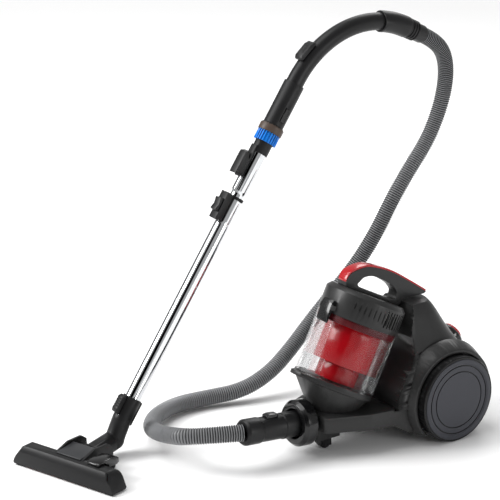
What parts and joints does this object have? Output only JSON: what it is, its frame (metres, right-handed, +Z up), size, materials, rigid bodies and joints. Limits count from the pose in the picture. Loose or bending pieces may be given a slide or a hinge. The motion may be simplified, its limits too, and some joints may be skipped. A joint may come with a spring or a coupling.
{
  "type": "vacuum cleaner",
  "caption": "Cylinder vacuum cleaner with a see-through cyclone bin, carry handle, corrugated hose, curved grip, telescopic metal wand and long floor head.",
  "frame": {"origin": "centre of the footprint of everything but the hose, on the floor", "axes": "+Z up, -Y the way the canister is pulled forward, +X the canister's left side; the wand stands on the -X side"},
  "size_m": [0.4702, 1.0632, 0.8249],
  "materials": {
    "body_grey": "satin dark grey moulding",
    "body_black": "fine-textured black moulding",
    "collar_gloss": "polished dark moulding",
    "wheel_grey": "matt blue-grey moulding",
    "tyre_rubber": "matt",
    "bin_clear": "clear smoke-tinted moulding",
    "cyclone_red": "polished red moulding",
    "trim_red": "polished red moulding",
    "seal_red": "satin",
    "filter_foam": "open foam",
    "hose_grey": "ribbed satin",
    "grip_black": "satin",
    "cuff_black": "satin",
    "tube_chrome": "mirror",
    "bristle_blue": "short bristles",
    "brush_brown": "satin",
    "panel_grey": "satin light grey",
    "metal_pin": "turned",
    "motor_metal": "die-cast",
    "fabric_strip": "short stiff bristles"
  },
  "bodies": {
    "canister": {"lower_chassis": "body_grey", "front_deck": "body_grey", "rear_shell": "body_grey", "wheel_arch_left": "body_grey", "wheel_arch_right": "body_grey", "wheel_axles": "metal_pin", "hose_socket": "collar_gloss", "inlet_duct": "body_black", "motor_housing": "motor_metal", "pre_motor_filter": "filter_foam", "exhaust_filter": "filter_foam", "exhaust_grille": "body_black", "cord_gland": "body_black", "dial_pod": "collar_gloss", "hose": "hose_grey", "lower_tube": "tube_chrome", "telescope_collar": "grip_black", "neck_pipe": "grip_black"},
    "wheel_left": {"wheel_left": "wheel_grey", "tyre_left": "tyre_rubber"},
    "wheel_right": {"wheel_right": "wheel_grey", "tyre_right": "tyre_rubber"},
    "caster_fork": {"caster_fork": "body_black"},
    "caster_wheel": {"caster_wheel": "body_black"},
    "motor_rotor": {"motor_rotor": "metal_pin", "impeller": "motor_metal"},
    "cord_reel": {"cord_reel": "body_black"},
    "dial": {"dial": "trim_red"},
    "rewind_button": {"rewind_button": "collar_gloss"},
    "bin": {"dust_cup": "bin_clear", "bin_lid": "body_grey", "lid_seal": "seal_red", "bin_filter": "filter_foam", "cyclone_cone": "cyclone_red", "cyclone_shroud": "cyclone_red", "bin_inlet_tube": "cyclone_red", "carry_handle": "body_grey", "handle_trim": "trim_red"},
    "bin_flap": {"bin_flap": "body_grey"},
    "bin_latch": {"bin_latch": "collar_gloss"},
    "hose_cuff": {"hose_cuff": "cuff_black"},
    "cuff_button": {"cuff_button": "collar_gloss"},
    "grip": {"grip_tube": "grip_black", "grip_end_cuff": "cuff_black", "upper_tube": "tube_chrome"},
    "wand_latch": {"wand_latch": "grip_black"},
    "swivel_ring": {"swivel_ring": "cuff_black"},
    "vent_slider": {"vent_slider": "collar_gloss"},
    "brush_sleeve": {"brush_sleeve": "brush_brown", "dusting_bristles": "bristle_blue"},
    "brush_button": {"brush_button": "collar_gloss"},
    "telescope_slider": {"telescope_slider": "collar_gloss"},
    "neck_button": {"neck_button": "collar_gloss"},
    "elbow": {"elbow_pipe": "grip_black"},
    "floor_head": {"head_shell": "body_black", "head_base": "body_black", "head_panel": "panel_grey"},
    "head_pedal": {"head_pedal": "collar_gloss"},
    "brush_strips": {"brush_strips": "fabric_strip"},
    "head_wheels": {"head_wheels": "tyre_rubber"}
  },
  "joints": [
    {"name": "wheel_left_spin", "type": "hinge", "parent": "canister", "child": "wheel_left", "pos_m": [0.2068, 0.3105, 0.09], "axis": [1, 0, 0], "continuous": true},
    {"name": "wheel_right_spin", "type": "hinge", "parent": "canister", "child": "wheel_right", "pos_m": [-0.0452, 0.3105, 0.09], "axis": [1, 0, 0], "continuous": true},
    {"name": "caster_swivel", "type": "hinge", "parent": "canister", "child": "caster_fork", "pos_m": [0.0808, 0.0605, 0.026], "axis": [0, 0, 1], "continuous": true},
    {"name": "caster_roll", "type": "hinge", "parent": "caster_fork", "child": "caster_wheel", "pos_m": [0.0808, 0.0705, 0.012], "axis": [1, 0, 0], "continuous": true},
    {"name": "motor_spin", "type": "hinge", "parent": "canister", "child": "motor_rotor", "pos_m": [0.0808, 0.3005, 0.15], "axis": [0, 1, 0], "continuous": true},
    {"name": "reel_spin", "type": "hinge", "parent": "canister", "child": "cord_reel", "pos_m": [0.0808, 0.3265, 0.05], "axis": [0, 0, 1], "continuous": true},
    {"name": "dial_turn", "type": "hinge", "parent": "canister", "child": "dial", "pos_m": [0.0808, 0.3975, 0.168], "axis": [0, 0.7986, 0.6018], "range_deg": [0, 270]},
    {"name": "rewind_press", "type": "slide", "parent": "canister", "child": "rewind_button", "axis": [0, -0.7986, -0.6018], "range_m": [0, 0.004], "stiffness_N_per_m": 400},
    {"name": "bin_lift", "type": "slide", "parent": "canister", "child": "bin", "axis": [0, 0, 1], "range_m": [0, 0.3]},
    {"name": "flap_open", "type": "hinge", "parent": "bin", "child": "bin_flap", "pos_m": [0.0808, 0.17132, 0.09202], "axis": [1, 0, 0], "range_deg": [0, 60.01]},
    {"name": "bin_latch_press", "type": "hinge", "parent": "bin", "child": "bin_latch", "pos_m": [0.0808, 0.07658, 0.30037], "axis": [-1, 0, 0], "range_deg": [0, 8], "stiffness_Nm_per_rad": 0.5},
    {"name": "cuff_turn", "type": "hinge", "parent": "canister", "child": "hose_cuff", "pos_m": [0.0808, 0.0255, 0.0657], "axis": [0, -0.9962, 0.0872], "continuous": true},
    {"name": "cuff_button_press", "type": "slide", "parent": "hose_cuff", "child": "cuff_button", "axis": [0, -0.0872, -0.9962], "range_m": [0, 0.0025], "stiffness_N_per_m": 400},
    {"name": "wand_extend", "type": "slide", "parent": "canister", "child": "grip", "axis": [0, 0.5606, 0.8281], "range_m": [0, 0.3], "deforming": ["hose"]},
    {"name": "wand_latch_press", "type": "slide", "parent": "grip", "child": "wand_latch", "axis": [0, 0.8281, -0.5606], "range_m": [0, 0.0012], "stiffness_N_per_m": 400},
    {"name": "hose_ring_turn", "type": "hinge", "parent": "grip", "child": "swivel_ring", "pos_m": [-0.12564, 0.45642, 0.77156], "axis": [0, 0.9026, -0.4305], "continuous": true},
    {"name": "vent_slide", "type": "slide", "parent": "grip", "child": "vent_slider", "axis": [0, 0.7559, 0.6547], "range_m": [0, 0.01]},
    {"name": "brush_slide", "type": "slide", "parent": "grip", "child": "brush_sleeve", "axis": [0, -0.5606, -0.8281], "range_m": [0, 0.012]},
    {"name": "brush_button_press", "type": "slide", "parent": "brush_sleeve", "child": "brush_button", "axis": [-1, 0, 0], "range_m": [0, 0.0012], "stiffness_N_per_m": 400},
    {"name": "telescope_unlock", "type": "slide", "parent": "canister", "child": "telescope_slider", "axis": [0, 0.5606, 0.8281], "range_m": [0, 0.006], "stiffness_N_per_m": 200},
    {"name": "neck_button_press", "type": "slide", "parent": "canister", "child": "neck_button", "axis": [0, 0.8281, -0.5606], "range_m": [0, 0.0018], "stiffness_N_per_m": 400},
    {"name": "neck_swivel", "type": "hinge", "parent": "canister", "child": "elbow", "pos_m": [-0.12564, -0.30694, 0.03099], "axis": [-0.2991, 0.9485, 0.1045], "range_deg": [-45, 45]},
    {"name": "head_pitch", "type": "hinge", "parent": "elbow", "child": "floor_head", "pos_m": [-0.1085, -0.3613, 0.025], "axis": [0.9537, 0.3007, 0], "range_deg": [-35, 30]},
    {"name": "pedal_press", "type": "hinge", "parent": "floor_head", "child": "head_pedal", "pos_m": [-0.02631, -0.40249, 0.046], "axis": [-0.9537, -0.3007, 0], "range_deg": [0, 6]},
    {"name": "brush_drop", "type": "slide", "parent": "floor_head", "child": "brush_strips", "axis": [0, 0, -1], "range_m": [0, 0.00301]},
    {"name": "head_wheels_roll", "type": "hinge", "parent": "floor_head", "child": "head_wheels", "pos_m": [-0.11271, -0.34795, 0.007], "axis": [0.9537, 0.3007, 0], "continuous": true}
  ],
  "couplings": [
    {"joint": "flap_open", "follows": "bin_lift", "rad_per_m": 3.4907},
    {"joint": "brush_drop", "follows": "pedal_press", "m_per_rad": 0.028648}
  ]
}
